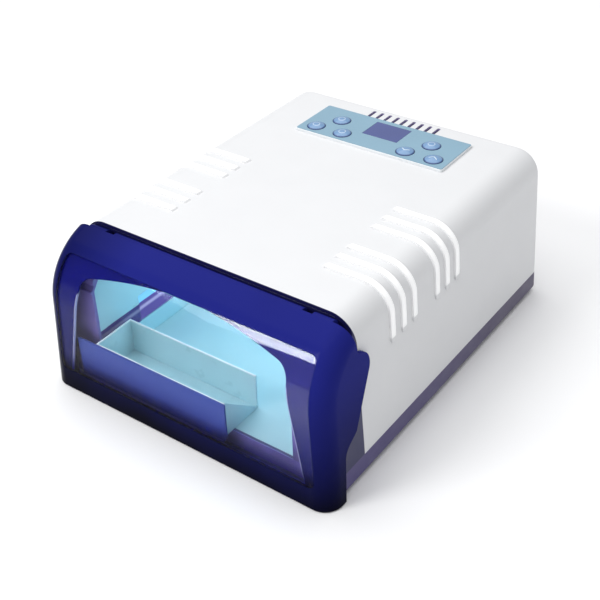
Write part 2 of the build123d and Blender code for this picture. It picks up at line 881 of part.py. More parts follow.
# Control panel: raised plate, printed overlay, display lens and buttons
plate_top = cabinet_top + panel_rise
overlay_top = plate_top + overlay_sheet
board_level = cabinet_top - control_board_drop
button_hole = button_radius + button_gap
flange_top = cabinet_top - seat_gap
button_front_y = panel_y + button_front_shift
button_rear_y = panel_y + button_rear_shift
button_places = [
    (-button_outer_x, button_front_y),
    (-button_inner_x, button_front_y),
    (-button_middle_x, button_rear_y),
    (button_inner_x, button_front_y),
    (button_outer_x, button_front_y),
    (button_middle_x, button_rear_y),
]
board_posts = [(sx * board_post_front_x, panel_y - board_post_reach) for sx in (-1, 1)]
board_posts += [(sx * board_post_rear_x, panel_y + board_post_reach) for sx in (-1, 1)]

with BuildPart() as panel_plate:
    with BuildSketch(Plane.XY.offset(cabinet_top)):
        with Locations((0, panel_y)):
            RectangleRounded(panel_width, panel_depth, panel_corner)
    extrude(amount=panel_rise)
    chamfer(panel_plate.edges().group_by(Axis.Z)[-1], overlay_border / 2)
    with BuildSketch(Plane.XY.offset(cabinet_top)):
        with Locations(*button_places):
            Circle(button_hole)
        with Locations((0, display_y)):
            Rectangle(display_width + 2 * pane_gap, display_depth + 2 * pane_gap)
    extrude(amount=panel_rise, mode=Mode.SUBTRACT)
    with BuildSketch(Plane.XY.offset(cabinet_top)):
        with Locations(*board_posts):
            Circle(board_post_radius)
        snap_x = panel_hole_width / 2 - seat_gap - snap_sheet / 2
        with Locations((0, panel_y)):
            with GridLocations(2 * snap_x, 2 * snap_reach, 2, 2):
                Rectangle(snap_sheet, snap_width)
    extrude(amount=-snap_depth)
    with BuildSketch(Plane.XY.offset(cabinet_top)):
        with Locations(*board_posts):
            Circle(board_post_radius)
    extrude(amount=-(control_board_drop - board_sheet))
save(panel_plate, "panel_plate")

overlay_width = panel_width - 2 * overlay_border
overlay_depth = panel_depth - 2 * overlay_border
with BuildPart() as panel_overlay:
    with BuildSketch(Plane.XY.offset(plate_top)):
        with Locations((0, panel_y)):
            RectangleRounded(overlay_width, overlay_depth, panel_corner)
        with Locations(*button_places):
            Circle(button_hole, mode=Mode.SUBTRACT)
        with Locations((0, display_y)):
            Rectangle(display_width + 2 * pane_gap, display_depth + 2 * pane_gap, mode=Mode.SUBTRACT)
    extrude(amount=overlay_sheet)
save(panel_overlay, "panel_overlay")

module_top = cabinet_top - 2 * seat_gap
with BuildPart() as display_window:
    with BuildSketch(Plane.XY.offset(module_top)):
        with Locations((0, display_y)):
            Rectangle(display_width, display_depth)
    extrude(amount=overlay_top - module_top)
save(display_window, "display_window")

with BuildPart() as display_module:
    with BuildSketch(Plane.XY.offset(board_level + board_sheet)):
        with Locations((0, display_y)):
            Rectangle(display_width + 2 * display_rim, display_depth + 2 * display_rim)
    extrude(amount=module_top - board_level - board_sheet)
save(display_module, "display_module")

with BuildPart() as control_board:
    with BuildSketch(Plane.XY.offset(board_level)):
        with Locations((0, panel_y)):
            RectangleRounded(control_board_width, control_board_depth, panel_corner)
    extrude(amount=board_sheet)
save(control_board, "control_board")

switch_top = board_level + board_sheet + switch_height
with BuildPart() as key_switches:
    with BuildSketch(Plane.XY.offset(board_level + board_sheet)):
        with Locations(*button_places):
            Rectangle(switch_size, switch_size)
    extrude(amount=switch_height)
    with BuildSketch(Plane.XY.offset(switch_top - switch_well)):
        with Locations(*button_places):
            Circle(button_stem_radius + button_gap)
    extrude(amount=switch_well, mode=Mode.SUBTRACT)
save(key_switches, "key_switches")

stem_foot = switch_top - switch_well + button_travel + seat_gap
dome_shoulder = overlay_top + seat_gap
dome_radius = (button_radius ** 2 + button_dome ** 2) / (2 * button_dome)
dome_angle = degrees(asin(button_radius / dome_radius))
dome_centre_z = dome_shoulder + button_dome - dome_radius
for number, place in enumerate(button_places, start=1):
    with BuildPart() as button:
        with BuildSketch(Plane((place[0], place[1], 0), x_dir=(1, 0, 0), z_dir=(0, -1, 0))):
            with BuildLine():
                Polyline(
                    (0, stem_foot),
                    (button_stem_radius, stem_foot),
                    (button_stem_radius, flange_top - button_flange_height),
                    (button_radius + button_flange, flange_top - button_flange_height),
                    (button_radius + button_flange, flange_top),
                    (button_radius, flange_top),
                    (button_radius, dome_shoulder),
                )
                CenterArc((0, dome_centre_z), dome_radius, 90 - dome_angle, dome_angle)
                Line((0, dome_centre_z + dome_radius), (0, stem_foot))
            make_face()
        revolve(axis=Axis((place[0], place[1], 0), (0, 0, 1)))
    save(button, f"button_{number}")

# Rear panel behind the cover's rear window, with the fan grille and the mains cut-outs
rear_panel_y = rear_inner - rear_sheet
rear_panel_width = rear_window_width + 2 * rear_lap
rear_panel_height = rear_window_height + 2 * rear_lap
fan_hole_places = [
    (fan_x + sx * fan_hole_place, rear_window_z + sz * fan_hole_place)
    for sx in (-1, 1)
    for sz in (-1, 1)
]
grille_rows = [(i - (grille_slots - 1) / 2) * grille_pitch for i in range(grille_slots)]

with BuildPart() as rear_panel:
    with BuildSketch(Plane.XZ.offset(-rear_inner)):
        with Locations((0, rear_window_z)):
            RectangleRounded(rear_panel_width, rear_panel_height, rear_panel_corner)
        with Locations((inlet_x, rear_window_z)):
            Rectangle(inlet_width + seat_gap, inlet_height + seat_gap, mode=Mode.SUBTRACT)
        with Locations((rocker_x, rear_window_z)):
            Rectangle(rocker_width + seat_gap, rocker_height + seat_gap, mode=Mode.SUBTRACT)
        with Locations(*fan_hole_places):
            Circle(fan_hole_radius, mode=Mode.SUBTRACT)
        for row in grille_rows:
            reach = 2 * (fan_bore_radius ** 2 - row ** 2) ** 0.5
            with Locations((fan_x, rear_window_z + row)):
                SlotOverall(reach - grille_slot, grille_slot, mode=Mode.SUBTRACT)
    extrude(amount=rear_sheet)
    with BuildSketch(Plane.XZ.offset(-rear_inner)):
        with Locations(*rear_screw_places):
            Circle(screw_hole_radius)
    extrude(amount=rear_sheet, mode=Mode.SUBTRACT)
save(rear_panel, "rear_panel")

with BuildPart() as rear_panel_screws:
    with BuildSketch(Plane.XZ.offset(-rear_panel_y)):
        with Locations(*rear_screw_places):
            Circle(screw_head_radius)
    extrude(amount=screw_head_height)
    with BuildSketch(Plane.XZ.offset(-rear_panel_y)):
        with Locations(*rear_screw_places):
            Circle(screw_radius)
    extrude(amount=-rear_sheet - rear_screw_bite)
save(rear_panel_screws, "rear_panel_screws")

# Fan: square frame with a strutted motor disc, and a bladed rotor on its own axle
fan_front = rear_panel_y - fan_depth
disc_back = fan_front + fan_disc
strut_length = fan_bore_radius - fan_hub_radius + fan_strut
with BuildPart() as fan_frame:
    with BuildSketch(Plane.XZ.offset(-rear_panel_y)):
        with Locations((fan_x, rear_window_z)):
            RectangleRounded(fan_size, fan_size, fan_corner)
            Circle(fan_bore_radius, mode=Mode.SUBTRACT)
        with Locations(*fan_hole_places):
            Circle(fan_hole_radius, mode=Mode.SUBTRACT)
    extrude(amount=fan_depth)
    with BuildSketch(Plane.XZ.offset(-disc_back)):
        with Locations((fan_x, rear_window_z)):
            Circle(fan_hub_radius)
            with PolarLocations(fan_hub_radius - fan_strut / 2, 3, start_angle=90):
                Rectangle(strut_length, fan_strut, align=(Align.MIN, Align.CENTER))
            Circle(fan_axle_radius + pin_clearance, mode=Mode.SUBTRACT)
    extrude(amount=fan_disc)
save(fan_frame, "fan_frame")

hub_front = disc_back + fan_tip_gap
hub_back = rear_panel_y - fan_tip_gap
blade_reach = fan_bore_radius - fan_tip_gap - fan_hub_radius
with BuildPart() as fan_rotor:
    with BuildSketch(Plane.XZ.offset(-hub_back)):
        with Locations((fan_x, rear_window_z)):
            Circle(fan_hub_radius)
    extrude(amount=hub_back - hub_front)
    with BuildSketch(Plane.XZ.offset(-hub_front)):
        with Locations((fan_x, rear_window_z)):
            Circle(fan_axle_radius)
    extrude(amount=fan_disc + fan_tip_gap)
    for blade in range(fan_blades):
        angle = radians(blade * 360 / fan_blades)
        outward = Vector(cos(angle), 0, sin(angle))
        root = Vector(fan_x, (hub_front + hub_back) / 2, rear_window_z) + outward * (fan_hub_radius - 1)
        blade_plane = Plane(root, x_dir=(0, 1, 0), z_dir=outward)
        with BuildSketch(blade_plane):
            with Locations(Location((0, 0), fan_blade_angle)):
                RectangleRounded(fan_blade_chord, fan_blade_sheet, fan_blade_sheet / 3)
        extrude(amount=blade_reach + 1)
    with BuildSketch(Plane.XZ.offset(-rear_face)):
        with Locations((fan_x, rear_window_z)):
            Circle(fan_size)
            Circle(fan_bore_radius - fan_tip_gap, mode=Mode.SUBTRACT)
    extrude(amount=fan_size, mode=Mode.SUBTRACT)
save(fan_rotor, "fan_rotor")

with BuildPart() as fan_screws:
    with BuildSketch(Plane.XZ.offset(-rear_inner)):
        with Locations(*fan_hole_places):
            Circle(screw_head_radius)
    extrude(amount=-screw_head_height)
    with BuildSketch(Plane.XZ.offset(-rear_inner)):
        with Locations(*fan_hole_places):
            Circle(fan_hole_radius - screw_clearance)
    extrude(amount=fan_depth)
save(fan_screws, "fan_screws")

# Mains inlet: flanged body with an open well, and three prongs in it
with BuildPart() as power_inlet:
    with BuildSketch(Plane.XZ.offset(-rear_inner)) as flange:
        with Locations((inlet_x, rear_window_z)):
            RectangleRounded(inlet_flange_width, inlet_flange_height, inlet_flange_corner)
    extrude(amount=-inlet_flange)
    with BuildSketch(Plane.XZ.offset(-rear_inner)):
        with Locations((inlet_x, rear_window_z)):
            Rectangle(inlet_width, inlet_height)
    extrude(amount=inlet_depth)
    with BuildSketch(Plane.XZ.offset(-rear_inner - inlet_flange)) as well:
        with Locations((inlet_x, rear_window_z)):
            Rectangle(inlet_width - 2 * inlet_wall, inlet_height - 2 * inlet_wall)
        chamfer(well.vertices().group_by(Axis.Y)[-1], inlet_chamfer)
    extrude(amount=inlet_well, mode=Mode.SUBTRACT)
save(power_inlet, "power_inlet")

well_floor = rear_inner + inlet_flange - inlet_well
with BuildPart() as inlet_prongs:
    with BuildSketch(Plane.XZ.offset(-well_floor)):
        with Locations((inlet_x, rear_window_z + prong_shift)):
            Rectangle(prong_width, prong_height)
        with Locations((inlet_x, rear_window_z - prong_shift)):
            with GridLocations(2 * prong_outer_x, 1, 2, 1):
                Rectangle(prong_width, prong_height)
    extrude(amount=-prong_length)
save(inlet_prongs, "inlet_prongs")

# Mains switch: bezelled housing, and a dished rocker tilted to its off side on two stub axles
rocker_axis_y = rear_inner - rocker_axis_depth
rocker_half_width = (rocker_width - rocker_bezel) / 2 - rocker_axle_length
rocker_radius = rocker_height / 2 - rocker_bezel
rocker_well = rocker_axis_depth + rocker_radius + rocker_gap
with BuildPart() as rocker_housing:
    with BuildSketch(Plane.XZ.offset(-rear_inner)):
        with Locations((rocker_x, rear_window_z)):
            RectangleRounded(rocker_width + rocker_bezel, rocker_height + rocker_bezel, 1)
    extrude(amount=-rocker_bezel_rise)
    with BuildSketch(Plane.XZ.offset(-rear_inner)):
        with Locations((rocker_x, rear_window_z)):
            Rectangle(rocker_width, rocker_height)
    extrude(amount=rocker_depth)
    with BuildSketch(Plane.XZ.offset(-rear_inner - rocker_bezel_rise)):
        with Locations((rocker_x, rear_window_z)):
            Rectangle(2 * (rocker_half_width + rocker_gap), 2 * (rocker_radius + rocker_gap))
    extrude(amount=rocker_bezel_rise + rocker_well, mode=Mode.SUBTRACT)
    with BuildSketch(Plane.YZ.offset(rocker_x)):
        with Locations((rocker_axis_y, rear_window_z)):
            Circle(rocker_axle_radius + pin_clearance)
    extrude(amount=rocker_half_width + rocker_gap + rocker_axle_length, both=True, mode=Mode.SUBTRACT)
save(rocker_housing, "rocker_housing")

dish_rise = rocker_radius * tan(radians(rocker_tilt))
rocker_plane = Plane(
    (rocker_x, rocker_axis_y, rear_window_z),
    x_dir=(0, cos(radians(rocker_tilt)), -sin(radians(rocker_tilt))),
    z_dir=(1, 0, 0),
)
with BuildPart() as rocker_switch:
    with BuildSketch(rocker_plane):
        Circle(rocker_radius)
        with BuildLine():
            Polyline(
                (rocker_dish, 0),
                (rocker_dish + dish_rise, rocker_radius),
                (2 * rocker_radius, rocker_radius),
                (2 * rocker_radius, -rocker_radius),
                (rocker_dish + dish_rise, -rocker_radius),
                close=True,
            )
        make_face(mode=Mode.SUBTRACT)
    extrude(amount=rocker_half_width, both=True)
    with BuildSketch(Plane.YZ.offset(rocker_x)):
        with Locations((rocker_axis_y, rear_window_z)):
            Circle(rocker_axle_radius)
    extrude(amount=rocker_half_width + rocker_axle_length, both=True)
save(rocker_switch, "rocker_switch")

# Power supply on standoffs at the rear of the pan
supply_level = pan_floor + standoff_height
supply_top = supply_level + board_sheet
supply_span_x = supply_width - 2 * supply_hole_inset
supply_span_y = supply_depth - 2 * supply_hole_inset
with BuildPart() as supply_standoffs:
    with BuildSketch(Plane.XY.offset(pan_floor)):
        with Locations((supply_x, supply_y)):
            with GridLocations(supply_span_x, supply_span_y, 2, 2):
                RegularPolygon(standoff_radius, 6)
    extrude(amount=standoff_height)
save(supply_standoffs, "supply_standoffs")

with BuildPart() as supply_board:
    with BuildSketch(Plane.XY.offset(supply_level)):
        with Locations((supply_x, supply_y)):
            RectangleRounded(supply_width, supply_depth, panel_corner)
            with GridLocations(supply_span_x, supply_span_y, 2, 2):
                Circle(screw_radius, mode=Mode.SUBTRACT)
    extrude(amount=board_sheet)
save(supply_board, "supply_board")

with BuildPart() as supply_transformer:
    with BuildSketch(Plane.XY.offset(supply_top)):
        with Locations((supply_x + transformer_shift_x, supply_y + transformer_shift_y)):
            RectangleRounded(transformer_width, transformer_depth, panel_corner)
    extrude(amount=transformer_height)
save(supply_transformer, "supply_transformer")

with BuildPart() as supply_capacitors:
    with BuildSketch(Plane.XY.offset(supply_top)):
        with Locations((supply_x + capacitor_shift_x, supply_y + capacitor_shift_y)):
            with GridLocations(1, capacitor_pitch, 1, 2):
                Circle(capacitor_radius)
    extrude(amount=capacitor_height)
    chamfer(supply_capacitors.edges().group_by(Axis.Z)[-1], capacitor_radius / 8)
save(supply_capacitors, "supply_capacitors")

with BuildPart() as supply_heat_sink:
    with BuildSketch(Plane.XY.offset(supply_top)):
        with Locations((supply_x + supply_sink_shift, supply_y)):
            Rectangle(sink_base, supply_sink_length)
            with GridLocations(1, 2 * sink_fin_pitch, 1, sink_fin_count):
                Rectangle(2 * sink_fin_height, sink_fin)
    extrude(amount=supply_sink_height)
save(supply_heat_sink, "supply_heat_sink")

# Screws that hold the cover to the pan
with BuildPart() as base_screws:
    with BuildSketch(Plane.XY.offset(pan_bottom + screw_clearance)):
        with Locations(*post_places):
            Circle(screw_head_radius)
    extrude(amount=screw_head_height)
    with BuildSketch(Plane.XY.offset(pan_bottom + screw_clearance)):
        with Locations(*post_places):
            Circle(screw_radius)
    extrude(amount=strip_height - screw_clearance + screw_depth - screw_radius)
save(base_screws, "base_screws")

# Work tray: a sheet tray through the chamber's mouth. Its right end is an open gusset.
tray_front = front_face - tray_front_gap
tray_back = tray_front + tray_depth
tray_floor = chamber_floor_z + seat_gap
tray_left = tray_side_gap - arch_half_width
tray_right = tray_left + tray_width
shield_left = -arch_half_width - shield_side_lap
with BuildPart() as work_tray:
    with BuildSketch(Plane.XY.offset(tray_floor)):
        with Locations((tray_left, tray_front)):
            Rectangle(tray_right - tray_left, tray_depth, align=(Align.MIN, Align.MIN))
    extrude(amount=tray_top - tray_floor)
    with BuildSketch(Plane.XY.offset(tray_floor + tray_sheet)):
        with Locations((tray_left + tray_sheet, tray_front + tray_sheet)):
            Rectangle(
                tray_right - tray_left - 2 * tray_sheet,
                tray_depth - 2 * tray_sheet,
                align=(Align.MIN, Align.MIN),
            )
    extrude(amount=tray_top, mode=Mode.SUBTRACT)
    with BuildSketch(Plane.YZ.offset(tray_right - 1.5 * tray_sheet)):
        with BuildLine():
            Polyline(
                (tray_front + tray_sheet, tray_top),
                (tray_back - tray_sheet, tray_floor + tray_sheet),
                (tray_back - tray_sheet, 2 * tray_top),
                (tray_front + tray_sheet, 2 * tray_top),
                close=True,
            )
        make_face()
    extrude(amount=2 * tray_sheet, mode=Mode.SUBTRACT)
save(work_tray, "work_tray")

with BuildPart() as tray_shield:
    with BuildSketch(Plane.XZ.offset(-tray_front)) as plate:
        with Locations((shield_left, shield_bottom)):
            Rectangle(
                tray_right + shield_lap - shield_left,
                tray_top - shield_bottom,
                align=(Align.MIN, Align.MIN),
            )
        low_corner = plate.vertices().sort_by_distance((tray_right + shield_lap, shield_bottom))[0]
        fillet(low_corner, shield_corner)
    extrude(amount=shield_sheet)
save(tray_shield, "tray_shield")
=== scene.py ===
from math import radians

import bpy
from mathutils import Euler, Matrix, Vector

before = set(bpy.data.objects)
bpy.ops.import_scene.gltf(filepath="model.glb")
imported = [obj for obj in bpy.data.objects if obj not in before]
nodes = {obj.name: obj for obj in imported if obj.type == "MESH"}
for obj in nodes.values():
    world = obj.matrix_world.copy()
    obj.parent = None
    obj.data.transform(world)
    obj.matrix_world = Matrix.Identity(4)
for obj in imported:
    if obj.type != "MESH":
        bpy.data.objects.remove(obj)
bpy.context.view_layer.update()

scene = bpy.context.scene
scene.view_settings.view_transform = "Standard"


def box(name):
    """The lowest and the highest corner of a node's own box."""
    sides = list(zip(*nodes[name].bound_box))
    return Vector([min(side) for side in sides]), Vector([max(side) for side in sides])


def middle(name):
    """The middle of a node's own box."""
    low, high = box(name)
    return (low + high) / 2


micron = 0.000001

# How far a painted edge takes to fade, in metres
soft_edge = 0.001
band_edge = 0.0003
crisp_edge = 0.0002
hair_edge = 0.0001

# Places that the paint follows, in metres and in the frame's own axes
cover_low, cover_high = box("upper_cover")
rib_rise = 0.0013
cover_top_z = cover_high.z - rib_rise

rib_width = 0.0054
rib_pitch = 0.0145
rib_count = 3
rib_groups = 2
rib_group_pitch = 0.0605
rib_first_y = cover_low.y + 0.0735
rib_low_z = cover_top_z - 0.0379
rib_inner_x = 0.0665
rib_fade = 0.006
# Strength of the ribs' glow, which is a painted highlight
rib_painted_glow = 0.14

vent_middle_y = cover_high.y - 0.0142
vent_half_length = 0.0062
vent_half_row = 0.035
vent_low_z = cover_top_z - 0.0104
vent_high_z = cover_top_z - 0.0002

hinge_axis = middle("hinge_pins")
trough_y = hinge_axis.y + 0.00702
trough_z = hinge_axis.z - 0.0115

# The chamber's side walls carry a band of painted shade between these heights
wall_x = box("chamber_liner")[1].x - 0.006
shade_band_low_z = 0.035
shade_band_high_z = 0.0515
streak_z = 0.046
streak_half = 0.0015
streak_strength = 0.45

pan_front_y = box("base_pan")[0].y + 0.0004
pan_turn_y = (-0.15, 0.10)
# Height of the tray's painted highlight line
tray_rim_z = box("work_tray")[1].z - 0.0008
shield_foot_z = box("tray_shield")[0].z + 0.0015

arch_half_x = 0.094
arch_corner_z = 0.0936
arch_flare = 0.2126
arch_line = (0.0004, 0.0008)
arch_line_fade = 0.002
# Where the door's painted shade on its left side fades out
door_shade_x = (-0.127, -0.055)
# Where the arched frame carries its painted reflection
reflection_zone_x = (-0.05, 0.05)
reflection_zone_z = (0.04, 0.085)
# Heights over which the pane's painted shade fades in
pane_shade_z = (0.021, 0.034)

# Marks on the buttons and on the mains switch, in metres
button_count = 6
button_shade_radii = (0.0064, 0.0073)
button_ring_radius = 0.0028
button_ring_half = 0.0004
button_ring_strength = 0.6
chevron_tip = 0.0012
chevron_slope = 0.7
chevron_half_line = 0.0006
chevron_reach = 0.0036
chevron_turns = {3: -1, 5: 1}  # by a button's rank from the left, -1 points down and 1 up
rocker_mark_z = 0.0045
rocker_half_line = 0.0003
rocker_bar_half = 0.0017
rocker_ring_radius = 0.0015

# Colours that more than one surface uses, or that paint adds
white = (1.0, 1.0, 1.0)
# Painted shade behind the door's hinge
trough_shade_color = (0.010, 0.010, 0.075)
# Painted shade along the chamber's side walls, and a lighter streak in it
wall_shade_violet = (0.10, 0.055, 0.25)
shade_band_streak = (0.75, 0.62, 0.85)
# Painted reflection on the arched frame's upper right
painted_reflection_violet = (0.030, 0.028, 0.24)
# Painted shade on the walls of the vent slots
vent_shade_violet = (0.42, 0.36, 0.62)
front_violet = (0.30, 0.24, 0.70)
pan_front_color = (0.07, 0.055, 0.19)
# Painted highlight lines on the shield's foot and along the arch's opening
highlight_line_color = (0.55, 0.55, 0.85)
# Painted shade round the foot of each button's dome
button_rim_shade = (0.035, 0.075, 0.22)
mark_white = (0.62, 0.74, 0.85)

# Finish of the plastics: how round their edges catch the light, and how they bend it
edge_radius = 400 * micron
door_edge_radius = 800 * micron
paint_ior = 1.46
pane_ior = 1.13
bevel_samples = 4


# Helpers for node trees
def new_material(name):
    """A new principled material, its shader and its node tree."""
    material = bpy.data.materials.new(name)
    material.use_nodes = True
    tree = material.node_tree
    shader = next(node for node in tree.nodes if node.type == "BSDF_PRINCIPLED")
    return material, shader, tree


def add(tree, kind, **values):
    """A node with its sockets and properties set by name."""
    node = tree.nodes.new(kind)
    for key, value in values.items():
        if key in node.inputs:
            node.inputs[key].default_value = value
        else:
            setattr(node, key, value)
    return node


def noise(tree, coords, scale, detail=2.0, roughness=0.5):
    """A noise texture in object space."""
    node = add(tree, "ShaderNodeTexNoise", Scale=scale, Detail=detail, Roughness=roughness)
    tree.links.new(coords.outputs["Object"], node.inputs["Vector"])
    return node


def spread(tree, source, low, high, start=0.3, end=0.7):
    """A number that runs from low to high while its source runs from start to end."""
    node = add(tree, "ShaderNodeMapRange")
    node.inputs["From Min"].default_value = start
    node.inputs["From Max"].default_value = end
    node.inputs["To Min"].default_value = low
    node.inputs["To Max"].default_value = high
    tree.links.new(source, node.inputs["Value"])
    return node.outputs["Result"]


def above(tree, value, start, end):
    """Nothing up to the start, one from the end on."""
    return spread(tree, value, 0.0, 1.0, start, end)


def below(tree, value, start, end):
    """One up to the start, nothing from the end on."""
    return spread(tree, value, 1.0, 0.0, start, end)


def calc(tree, operation, first, second=None):
    """A number worked out from one or two sockets or values."""
    node = add(tree, "ShaderNodeMath", operation=operation)
    for socket, value in zip(node.inputs, (first, second)):
        if isinstance(value, (int, float)):
            socket.default_value = value
        elif value is not None:
            tree.links.new(value, socket)
    return node.outputs["Value"]


def product(tree, first, *others):
    """The product of sockets or values."""
    for other in others:
        first = calc(tree, "MULTIPLY", first, other)
    return first


def magnitude(tree, value):
    """A number without its sign."""
    return calc(tree, "ABSOLUTE", value)


def distance(tree, across, along):
    """How far a point lies from the middle of its mark."""
    squares = calc(tree, "ADD", calc(tree, "POWER", across, 2.0), calc(tree, "POWER", along, 2.0))
    return calc(tree, "SQRT", squares)


def within(tree, value, centre, reach, edge=band_edge):
    """One near a centre, falling softly to nothing past its reach."""
    away = magnitude(tree, calc(tree, "SUBTRACT", value, centre))
    return below(tree, away, reach - edge, reach + edge)


def ring(tree, across, along, radius, half_line):
    """One on a circle's line."""
    return within(tree, distance(tree, across, along), radius, half_line, hair_edge)


def bar(tree, across, along, half_length, half_line):
    """One on a short upright line."""
    return product(tree, within(tree, across, 0.0, half_line, hair_edge),
                   within(tree, along, 0.0, half_length, crisp_edge))


def axes(tree, coords):
    """The X, Y and Z of a point in object space."""
    split = add(tree, "ShaderNodeSeparateXYZ")
    tree.links.new(coords.outputs["Object"], split.inputs["Vector"])
    return split.outputs


def mix_colors(tree, factor, low, high):
    """A colour that runs from low to high by a factor."""
    node = add(tree, "ShaderNodeMix", data_type="RGBA")
    factor_socket, low_socket, high_socket = node.inputs[0], node.inputs[6], node.inputs[7]
    for socket, value in ((low_socket, low), (high_socket, high)):
        if isinstance(value, tuple):
            socket.default_value = (*value, 1)
        else:
            tree.links.new(value, socket)
    tree.links.new(factor, factor_socket)
    return node.outputs[2]


def shade(color, factor):
    """A colour made lighter or darker."""
    return tuple(min(1.0, channel * factor) for channel in color)


def dress(material, *names):
    """Gives CAD nodes a material."""
    for name in names:
        mesh = nodes[name].data
        mesh.materials.clear()
        mesh.materials.append(material)


# Kinds of surface
def surface(name, color, rough, grain=900.0, grain_depth=20 * micron, mottle=0.03,
            metallic=0.0, coat=0.0, coat_rough=0.1, stretch=None, paint=None):
    """A finished surface: mottled colour, uneven gloss, fine grain and softened edges."""
    material, shader, tree = new_material(name)
    coords = add(tree, "ShaderNodeTexCoord")
    cloud = noise(tree, coords, scale=22.0, detail=3.0, roughness=0.55)
    tint = mix_colors(tree, spread(tree, cloud.outputs["Fac"], 0.0, 1.0),
                      shade(color, 1 - mottle), shade(color, 1 + mottle))
    if paint:
        tint = paint(tree, axes(tree, coords), tint)
    tree.links.new(tint, shader.inputs["Base Color"])
    smudge = noise(tree, coords, scale=60.0, detail=4.0, roughness=0.6)
    gloss = spread(tree, smudge.outputs["Fac"], rough * 0.85, min(1.0, rough * 1.2))
    tree.links.new(gloss, shader.inputs["Roughness"])
    fine = noise(tree, coords, scale=grain, detail=2.0, roughness=0.6)
    if stretch:
        mapping = add(tree, "ShaderNodeMapping", Scale=stretch)
        tree.links.new(coords.outputs["Object"], mapping.inputs["Vector"])
        tree.links.new(mapping.outputs["Vector"], fine.inputs["Vector"])
    bevel = add(tree, "ShaderNodeBevel", Radius=edge_radius, samples=bevel_samples)
    bump = add(tree, "ShaderNodeBump", Strength=0.6, Distance=grain_depth)
    tree.links.new(fine.outputs["Fac"], bump.inputs["Height"])
    tree.links.new(bevel.outputs["Normal"], bump.inputs["Normal"])
    tree.links.new(bump.outputs["Normal"], shader.inputs["Normal"])
    shader.inputs["Metallic"].default_value = metallic
    shader.inputs["IOR"].default_value = paint_ior
    shader.inputs["Coat Weight"].default_value = coat
    shader.inputs["Coat Roughness"].default_value = coat_rough
    return material


def feed(material, socket, mask):
    """Links a mask to one socket of a finished material, whose shader it returns."""
    tree = material.node_tree
    shader = next(node for node in tree.nodes if node.type == "BSDF_PRINCIPLED")
    coords = next(node for node in tree.nodes if node.type == "TEX_COORD")
    tree.links.new(mask(tree, axes(tree, coords)), shader.inputs[socket])
    return shader


def glowing(name, color, strength, rough, paint=None):
    """An opal surface that gives light, a little unevenly."""
    material, shader, tree = new_material(name)
    coords = add(tree, "ShaderNodeTexCoord")
    cloud = noise(tree, coords, scale=30.0)
    tint = mix_colors(tree, spread(tree, cloud.outputs["Fac"], 0.0, 1.0), shade(color, 0.9), color)
    if paint:
        tint = paint(tree, axes(tree, coords), tint)
    tree.links.new(tint, shader.inputs["Base Color"])
    tree.links.new(tint, shader.inputs["Emission Color"])
    shader.inputs["Emission Strength"].default_value = strength
    shader.inputs["Roughness"].default_value = rough
    return material


def polished(name, low_color, high_color, specular, top_z=0.085, left_shade=0.0, paint=None):
    """Polished plastic with painted shade: darker towards its foot and its left side."""
    material, shader, tree = new_material(name)
    coords = add(tree, "ShaderNodeTexCoord")
    place = axes(tree, coords)
    cloud = noise(tree, coords, scale=14.0)
    sway = spread(tree, cloud.outputs["Fac"], -0.06, 0.06)
    height = add(tree, "ShaderNodeMath", operation="ADD", use_clamp=True)
    tree.links.new(above(tree, place["Z"], 0.0, top_z), height.inputs[0])
    tree.links.new(sway, height.inputs[1])
    tint = mix_colors(tree, height.outputs["Value"], low_color, high_color)
    tint = mix_colors(tree, spread(tree, place["X"], left_shade, 0.0, *door_shade_x), tint, low_color)
    if paint:
        tint = paint(tree, place, tint)
    tree.links.new(tint, shader.inputs["Base Color"])
    smudge = noise(tree, coords, scale=35.0, detail=3.0)
    tree.links.new(spread(tree, smudge.outputs["Fac"], 0.07, 0.13), shader.inputs["Roughness"])
    bevel = add(tree, "ShaderNodeBevel", Radius=door_edge_radius, samples=bevel_samples)
    tree.links.new(bevel.outputs["Normal"], shader.inputs["Normal"])
    shader.inputs["Specular IOR Level"].default_value = specular
    shader.inputs["Coat Roughness"].default_value = 0.04
    return material


def clear_plastic(name, color, foot_shade_color, rough):
    """Clear polished plastic with faint smudges, darkened to navy towards its foot as painted shade."""
    material, shader, tree = new_material(name)
    coords = add(tree, "ShaderNodeTexCoord")
    smudge = noise(tree, coords, scale=25.0, detail=4.0)
    gloss = spread(tree, smudge.outputs["Fac"], rough * 0.4, rough * 1.6)
    tree.links.new(gloss, shader.inputs["Roughness"])
    tint = mix_colors(tree, spread(tree, smudge.outputs["Fac"], 0.0, 1.0), shade(color, 0.97), color)
    tint = mix_colors(tree, below(tree, axes(tree, coords)["Z"], *pane_shade_z), tint, foot_shade_color)
    tree.links.new(tint, shader.inputs["Base Color"])
    shader.inputs["Transmission Weight"].default_value = 1.0
    shader.inputs["IOR"].default_value = pane_ior
    return material


# Paint that follows a form
def paint_trough_shade(tree, place, tint):
    """Painted shade: deep blue where the door's hinge lies."""
    return mix_colors(tree, above(tree, place["Z"], trough_z, trough_z + soft_edge), tint, trough_shade_color)


def paint_rim_highlight(tree, place, tint):
    """The tray's top edge, painted white as a highlight."""
    return mix_colors(tree, above(tree, place["Z"], tray_rim_z - crisp_edge, tray_rim_z), tint, white)


def paint_wall_shade(tree, place, tint):
    """A violet band of painted shade along the chamber's sides, with a lighter streak lengthways."""
    band = product(tree, above(tree, place["Z"], shade_band_low_z - band_edge, shade_band_low_z + band_edge),
                   below(tree, place["Z"], shade_band_high_z - band_edge, shade_band_high_z + band_edge),
                   above(tree, magnitude(tree, place["X"]), wall_x, wall_x + 2 * soft_edge))
    streak = within(tree, place["Z"], streak_z, streak_half, soft_edge)
    streak = product(tree, streak, streak_strength)
    return mix_colors(tree, band, tint, mix_colors(tree, streak, wall_shade_violet, shade_band_streak))


